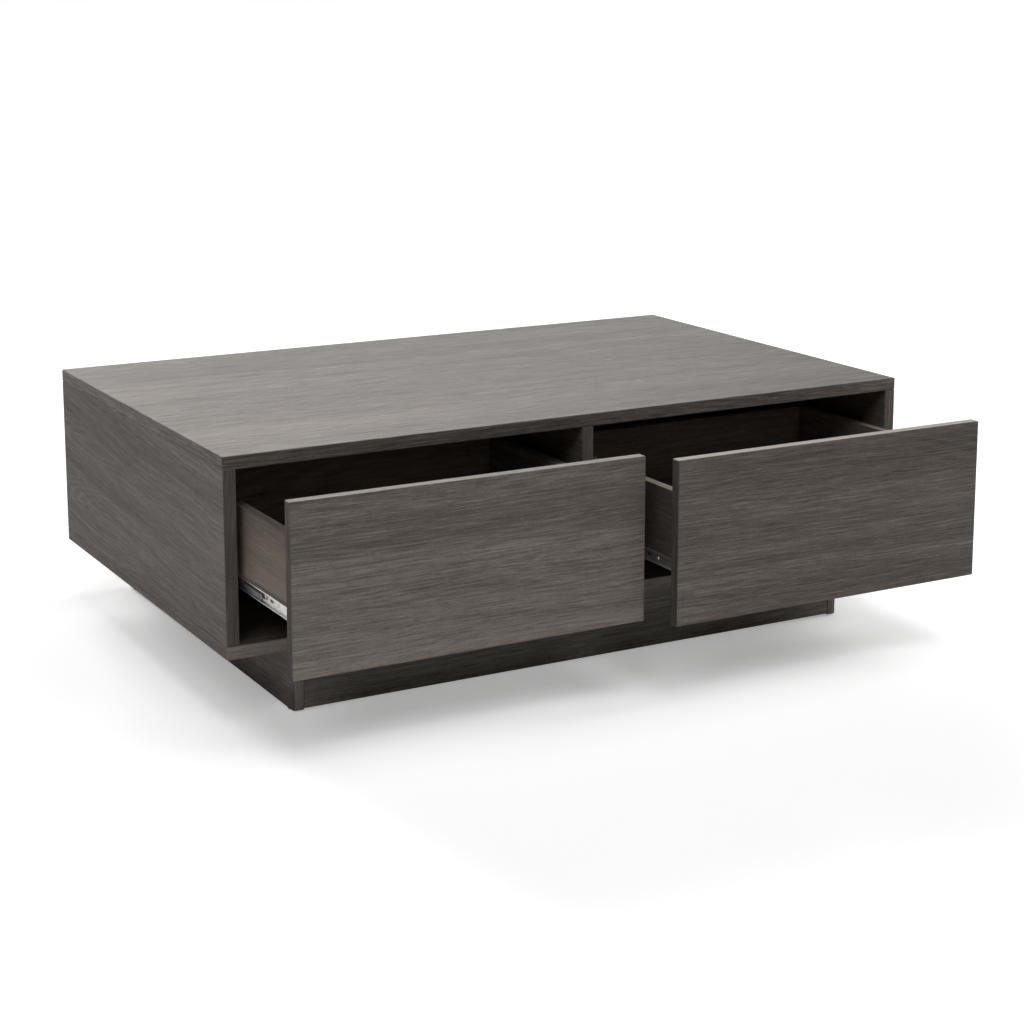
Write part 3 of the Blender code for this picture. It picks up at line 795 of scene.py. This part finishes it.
FIRST_RUNNER = "left_drawer_left_runner"
cabinet_channel = make_channel("cabinet_channel", length_of(FIRST_RUNNER + "_cabinet_member"))
drawer_channel = face_the_wall(make_channel("drawer_channel", length_of(FIRST_RUNNER + "_drawer_member")))
print("faces:", len(cabinet_channel.data.polygons), len(drawer_channel.data.polygons))

# %% [markdown]
# ## The middle bar
#
# The middle member runs in both channels, so it is a bar with a flange along its top and
# bottom, on which the balls roll. Its ends are rounded, so that it enters the channels
# smoothly. Four extruded flanges would do too, but two long grooves cut from one rounded
# block leave the flanges with the same round ends as the web.


# %% The middle bar
def make_middle_bar(name, length):
    """The middle bar: a web with a flange along each side, and rounded ends with holes."""
    half, flange, near, far = 0.0054, 0.001, 0.0036, 0.0094
    end_round, fine_round, groove_round = 0.0053, 0.0003, 0.0006
    end_hole_in, wide_hole_in, wide_hole = 0.0085, 0.062, 0.003
    centre, half_width, top = (near + far) / 2, (far - near) / 2, half - flange
    bar = new_block(name, (near, 0, -half), (far, length, half))
    pick_edges(bar, lambda middle, along: abs(along.x) > 0.9)
    round_edges(end_round, 8)
    pick_edges(bar, lambda middle, along: abs(along.x) < 0.1)
    round_edges(fine_round, 2)
    for way in (1, -1):
        inner, outer = centre + way * SHEET / 2, centre + way * (half_width + OVERRUN)
        low_x, high_x = sorted((inner, outer))
        groove = new_block("groove", (low_x, -OVERRUN, -top), (high_x, length + OVERRUN, top))
        pick_edges(groove, lambda middle, along: abs(along.y) > 0.9 and close_to(middle.x, inner))
        round_edges(groove_round, 3)
        carve(bar, groove)
    places = (end_hole_in, wide_hole_in, length / 2, length - wide_hole_in, length - end_hole_in)
    for start, radius in zip(places, (HOLE, wide_hole, wide_hole, wide_hole, HOLE)):
        cut_slot(bar, radius, CUTTER_REACH, centre, start)
    return finish_shape(bar, dark_zinc)


middle_bar = make_middle_bar("middle_bar", length_of(FIRST_RUNNER + "_middle_member"))
print("faces:", len(middle_bar.data.polygons))

# %% [markdown]
# ## Ball cages
#
# Between each channel and the middle bar runs a cage: a thin steel tray with rounded ends,
# pressed from strip, that keeps the balls apart. It starts as a block whose ends are
# rounded. The open face is inset and pushed in until only the sheet is left. Slots in its
# web save weight and hold grease. The balls sit in its two lips, and stay with it as one
# piece.


# %% Ball cages
CAGE_WINDOWS, WINDOW_START, WINDOW_STEP, WINDOW_RUN, WINDOW = 3, 0.043, 0.05, 0.014, 0.0026
BALL_PLACES = (0.025, 0.075, 0.125, 0.175)
BALL, BALL_X, BALL_Z = 0.001, 0.00465, 0.0067


def make_cage(name, start, length):
    """A tray that opens towards +X, with rounded ends and a row of balls in each lip."""
    web, lip, half, sheet = 0.0028, 0.00615, 0.00695, 0.0005
    end_round, fine_round, window_reach = 0.0068, 0.0003, 0.002
    cage = new_block(name, (web, start, -half), (lip, length, half))
    pick_edges(cage, lambda middle, along: abs(along.x) > 0.9)
    round_edges(end_round, 8)
    pick_faces(cage, lambda centre, normal: normal.x > 0.9)
    bpy.ops.mesh.inset(thickness=sheet, use_even_offset=True)
    extrude(-(lip - web - sheet), 0, 0)
    pick_edges(cage, lambda middle, along: close_to(middle.x, web) and abs(along.x) < 0.1)
    round_edges(fine_round, 2)
    for number in range(CAGE_WINDOWS):
        cut_slot(cage, WINDOW, window_reach, web, WINDOW_START + number * WINDOW_STEP, WINDOW_RUN)
    finish_shape(cage, zinc, ball_steel)
    balls = []
    for along in BALL_PLACES:
        for side in (1, -1):
            let_go()
            place = (BALL_X, along, side * BALL_Z)
            bpy.ops.mesh.primitive_uv_sphere_add(segments=20, ring_count=12, radius=BALL, location=place)
            ball = bpy.context.object
            bpy.ops.object.transform_apply(location=True)
            bpy.ops.object.shade_smooth()
            for material in (zinc, ball_steel):
                ball.data.materials.append(material)
            for face in ball.data.polygons:
                face.material_index = 1
            balls.append(ball)
    take(cage, *balls)
    bpy.ops.object.join()
    return cage


INNER_NOSE = 0.016  # how much further back the inner cage starts
cage_length = length_of(FIRST_RUNNER + "_outer_ball_cage")
outer_cage = make_cage("outer_cage", 0.0, cage_length)
inner_cage = face_the_wall(make_cage("inner_cage", INNER_NOSE, cage_length))
print("cage faces:", len(outer_cage.data.polygons), len(inner_cage.data.polygons))

# %% [markdown]
# ## Screws
#
# The runners are held by flat-headed screws with a cross recess, low enough for the cages to
# pass over them. The same recess sits in the domed heads that hold the fronts. A head is a
# disc with its rim rounded over; its shank is inset from the underside and pulled down. The
# recess is cut by a small plus-shaped block, itself a cube with four faces extruded.


# %% Screws
SHANK = 0.0019
TIP_SHARE = 0.12  # of the shank's radius, at the tip
ARM_SHARE, ARM_WIDTH_SHARE = 0.58, 0.12  # of the head's radius, for the recess
DEPTH_SHARE, DEPTH_MOST = 0.7, 0.0011  # of the head's height, and metres


def make_screw(name, radius, height, shank_length, dome, tip=0.0):
    """A screw whose head stands on the plane Z = 0 and whose shank goes down from it."""
    screw = new_disc(name, radius, 0.0, height)
    pick_edges(screw, lambda middle, along: close_to(middle.z, height))
    round_edges(dome, 5)
    pick_faces(screw, lambda centre, normal: normal.z < -0.9)
    bpy.ops.mesh.inset(thickness=radius - SHANK)
    extrude(0, 0, -shank_length)
    if tip:
        extrude(0, 0, -tip)
        end = (0, 0, -shank_length - tip)
        bpy.ops.transform.resize(value=(TIP_SHARE, TIP_SHARE, 1.0), center_override=end)
    arm, width = radius * ARM_SHARE, radius * ARM_WIDTH_SHARE
    depth = min(height * DEPTH_SHARE, DEPTH_MOST)
    cross = new_block("cross", (-width, -width, height - depth), (width, width, height + OVERRUN))

    def core_side(centre, normal):
        return normal.x * x + normal.y * y > 0.9 and abs(centre.x) + abs(centre.y) < 2 * width

    for x, y in ((1, 0), (-1, 0), (0, 1), (0, -1)):
        pick_faces(cross, core_side)
        extrude(x * (arm - width), y * (arm - width), 0)
    carve(screw, cross)
    return finish_shape(screw, screw_steel)


FRONT_HEAD, FRONT_TIP = 0.0024, 0.0035
front_screw_length = length_of("left_drawer_front_screw_left")
front_shank = front_screw_length - FRONT_HEAD - FRONT_TIP
runner_screw = make_screw("runner_screw", radius=0.0034, height=0.0010, shank_length=0.0009, dome=0.0006)
front_screw = make_screw("front_screw", 0.0039, FRONT_HEAD, front_shank, dome=0.0017, tip=FRONT_TIP)
print("screw faces:", len(runner_screw.data.polygons), "front screw:", round(front_screw_length, 4), "m")

# %% [markdown]
# ## Catches
#
# The push-to-open catch is a small moulded housing with a rounded plunger in its front. A
# plain box would do from afar. Its sides are inset and its long edges rounded, because a
# moulding has even walls and soft edges.


# %% Catches
def make_catch(name, thickness, length, height):
    """A housing with recessed sides and a plunger in a ring at its front end, at Y = 0."""
    border, recess, bend = 0.0016, 0.0005, 0.0010
    ring_radius, ring_depth = 0.0029, 0.0018
    plunger_radius, plunger_round, set_back, plunger_end = 0.0025, 0.0012, 0.0002, 0.0022
    catch = new_block(name, (0, 0, -height / 2), (thickness, length, height / 2))
    for way in (1, -1):
        pick_faces(catch, lambda centre, normal: normal.x * way > 0.9)
        bpy.ops.mesh.inset(thickness=border)
        extrude(-way * recess, 0, 0)
    pick_edges(catch, lambda middle, along: abs(along.y) > 0.9 and close_to(abs(middle.z), height / 2))
    round_edges(bend, 4)
    to_its_place = Matrix.Translation((thickness / 2, 0, 0)) @ TO_FRONT
    ring = new_disc("ring", ring_radius, -ring_depth, ring_depth)
    let_go()
    ring.data.transform(to_its_place)
    carve(catch, ring)
    plunger = new_disc("plunger", plunger_radius, -plunger_end, -set_back)
    pick_edges(plunger, lambda middle, along: close_to(middle.z, -set_back))
    round_edges(plunger_round, 4)
    let_go()
    plunger.data.transform(to_its_place)
    take(catch, plunger)
    bpy.ops.object.join()
    return finish_shape(catch, grey_plastic)


low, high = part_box("left_drawer_left_runner_push_catch")
push_catch = make_catch("push_catch", high.x - low.x, high.y - low.y, high.z - low.z)
print("catch faces:", len(push_catch.data.polygons))

# %% [markdown]
# ## Glides
#
# The table stands on round plastic feet with a groove in the underside. They could be spun
# from a profile, but a cylinder with its underside inset twice needs fewer steps.

# %% Glides
GLIDE_SIDES = 48
RIM_SHARE, GROOVE_SHARE, RIM_ROUND_SHARE = 0.35, 0.12, 0.25  # widths and a rounding, of the radius
GROOVE_DEPTH_SHARE = 0.3  # of the height


def make_glide(name, radius, height):
    """A round foot with a groove in its underside and a rounded rim."""
    groove_middle = radius * (1 - RIM_SHARE - GROOVE_SHARE / 2)

    def in_groove(centre, normal):
        off_middle = abs(math.hypot(centre.x, centre.y) - groove_middle)
        return normal.z < -0.9 and off_middle < radius * GROOVE_SHARE / 2

    def on_rim(middle, along):
        out = math.hypot(middle.x, middle.y)
        return close_to(out, radius * math.cos(math.pi / GLIDE_SIDES)) and abs(along.z) < 0.1

    glide = new_disc(name, radius, 0.0, height, GLIDE_SIDES)
    pick_faces(glide, lambda centre, normal: normal.z < -0.9)
    bpy.ops.mesh.inset(thickness=radius * RIM_SHARE)
    bpy.ops.mesh.inset(thickness=radius * GROOVE_SHARE)
    pick_faces(glide, in_groove)
    extrude(0, 0, height * GROOVE_DEPTH_SHARE)
    pick_edges(glide, on_rim)
    round_edges(radius * RIM_ROUND_SHARE, 4)
    return finish_shape(glide, black_plastic)


low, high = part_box("floor_glide_middle")
glide_pattern = make_glide("glide_pattern", (high.x - low.x) / 2, high.z - low.z)
print("glide faces:", len(glide_pattern.data.polygons))

# %% [markdown]
# ## Everything to its place
#
# Each runner has the same seven kinds of piece. They sit on the bay's walls, which the
# frame's boxes give, and each layer rides with the body that moves it: the cabinet member
# with the case, the drawer member with the drawer, and the middle bar and the two cages
# with carriers of their own, which move at a half, a quarter and three quarters of the way.

# %% Placing the small pieces
SEAT_GAP = 0.00003  # between a screw's head and the channel under it
for which in ("left", "right"):
    drawer = which + "_drawer"
    for side, hand in (("left", 1), ("right", -1)):
        runner = drawer + "_" + side + "_runner"
        low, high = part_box(runner + "_cabinet_member")
        wall = low.x - WEB if hand > 0 else high.x + WEB
        height = (low.z + high.z) / 2

        def put(pattern, kind, body):
            node = runner + "_" + kind
            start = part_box(node)[0].y
            seat = (wall, start, height)
            place_copy(pattern, node + "_formed", body, seat, hand, replaced=node)
            return start

        cabinet_start = put(cabinet_channel, "cabinet_member", "carcass")
        drawer_start = put(drawer_channel, "drawer_member", drawer)
        put(middle_bar, "middle_member", which + "_middle_members")
        put(outer_cage, "outer_ball_cage", which + "_outer_cages")
        put(inner_cage, "inner_ball_cage", which + "_inner_cages")
        node, moulded = runner + "_push_catch", runner + "_catch_moulded"
        low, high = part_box(node)
        seat = (low.x if hand > 0 else high.x, low.y, height)
        place_copy(push_catch, moulded, "carcass", seat, hand, replaced=node)
        off_wall = WEB + SHEET + SEAT_GAP
        screw_rows = (
            ("cabinet", "carcass", off_wall, cabinet_start, TO_ROOM),
            ("drawer", drawer, SPACE - off_wall, drawer_start, TO_WALL),
        )
        for number, along in enumerate(SCREW_PLACES, 1):
            for kind, body, x, start, turn in screw_rows:
                seat = (wall + hand * x, start + along, height)
                name = f"{runner}_{kind}_screw_{number}"
                place_copy(runner_screw, name, body, seat, hand, turn)
    for side in ("left", "right"):
        node = drawer + "_front_screw_" + side
        low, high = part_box(node)
        seat = ((low.x + high.x) / 2, high.y - FRONT_HEAD, (low.z + high.z) / 2)
        place_copy(front_screw, node + "_domed", drawer, seat, turn=TO_BACK, replaced=node)

for place in ("front_left", "front_right", "back_left", "back_right", "middle"):
    node = "floor_glide_" + place
    low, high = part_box(node)
    seat = ((low.x + high.x) / 2, (low.y + high.y) / 2, low.z)
    place_copy(glide_pattern, node + "_turned", "carcass", seat, replaced=node)

patterns = (cabinet_channel, drawer_channel, middle_bar, outer_cage, inner_cage)
for pattern in (*patterns, runner_screw, front_screw, push_catch, glide_pattern):
    bpy.data.objects.remove(pattern)
meshes = [o.name for o in bpy.data.objects if o.type == "MESH"]
print("pieces modelled:", len([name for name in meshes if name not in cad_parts]))

# %% [markdown]
# ## The floor
#
# The table stands in a white studio. The floor is a large plane that scatters a white
# floor's light up at the fronts. To the camera it is lifted a little, so that it reads as
# paper white where nothing shades it and still keeps the table's soft shadow.

# %% Floor
FLOOR_SIZE = 120
let_go()
bpy.ops.mesh.primitive_plane_add(size=FLOOR_SIZE, location=(0, 0, 0))
floor = bpy.context.object
floor.name = "studio_floor"


def seen_share(tree):
    """1 where the camera, metal or glass sees a surface, and 0 for the light that scatters from it."""
    light_path = tree.nodes.new("ShaderNodeLightPath").outputs
    seen = maths(tree, "MAXIMUM", light_path["Is Camera Ray"], light_path["Is Glossy Ray"])
    return maths(tree, "MAXIMUM", seen, light_path["Is Transmission Ray"])


FLOOR_SCATTER, FLOOR_SEEN, FLOOR_LIFT = 0.85, 0.94, 0.355
WHITE = (1, 1, 1)
floor_paint, tree, shader = new_material("studio_floor")
shader.inputs["Roughness"].default_value = 0.9
shader.inputs["Specular IOR Level"].default_value = 0.0
shader.inputs["Emission Color"].default_value = opaque(WHITE)
seen = seen_share(tree)
tree.links.new(maths(tree, "MULTIPLY", seen, FLOOR_LIFT), shader.inputs["Emission Strength"])
paint = blend_colour(tree, seen, opaque(WHITE, FLOOR_SCATTER), opaque(WHITE, FLOOR_SEEN))
tree.links.new(paint, shader.inputs["Base Color"])
floor.data.materials.append(floor_paint)
print("floor:", FLOOR_SIZE, "m square")

# %% [markdown]
# ## The light
#
# The world is white where the camera sees it or metal mirrors it, and gives no other light.
# The rest comes from suns with wide angles, because a sun lights the floor evenly to the
# horizon.
# The photograph shows several soft lights at once: a strong low one from behind makes the
# top pale and throws the soft shadow forward, and weaker ones from the front and the
# right light the drawer fronts. Each sun was first rendered alone. Then their strengths
# were solved together, so that every board and the shadow on the floor come out about as
# light as in the photograph.

# %% World and lamps
world = bpy.data.worlds.new("studio")
bpy.context.scene.world = world
world.use_nodes = True
tree = world.node_tree
background = tree.nodes["Background"]
background.inputs["Color"].default_value = opaque(WHITE)
tree.links.new(seen_share(tree), background.inputs["Strength"])


def add_sun(name, strength, tilt, bearing, angle):
    """A soft far lamp: its tilt from overhead, its bearing clockwise from the back, and its width."""
    data = bpy.data.lights.new(name, "SUN")
    data.energy = strength
    data.angle = math.radians(angle)
    lamp = bpy.data.objects.new(name, data)
    lamp.rotation_euler = (math.radians(tilt), 0, math.radians(180 - bearing))
    bpy.context.scene.collection.objects.link(lamp)


SUNS = [
    ("overhead", 0.13, 0, 0),
    ("front_high", 0.51, 22, 180),
    ("right", 0.86, 45, 90),
    ("right_front", 0.53, 45, 135),
    ("left_front", 0.53, 45, 225),
    ("front_low", 0.09, 68, 180),
    ("back_low", 2.60, 68, 0),
    ("back_low_right", 0.54, 68, 30),
]
SUN_WIDTH = 25
for name, strength, tilt, bearing in SUNS:
    add_sun(name, strength, tilt, bearing, SUN_WIDTH)

# %% [markdown]
# ## Finish
#
# The view transform is the plain one, so that colours come out as they were mixed.

# %% Finish
view = bpy.context.scene.view_settings
view.view_transform = "Standard"
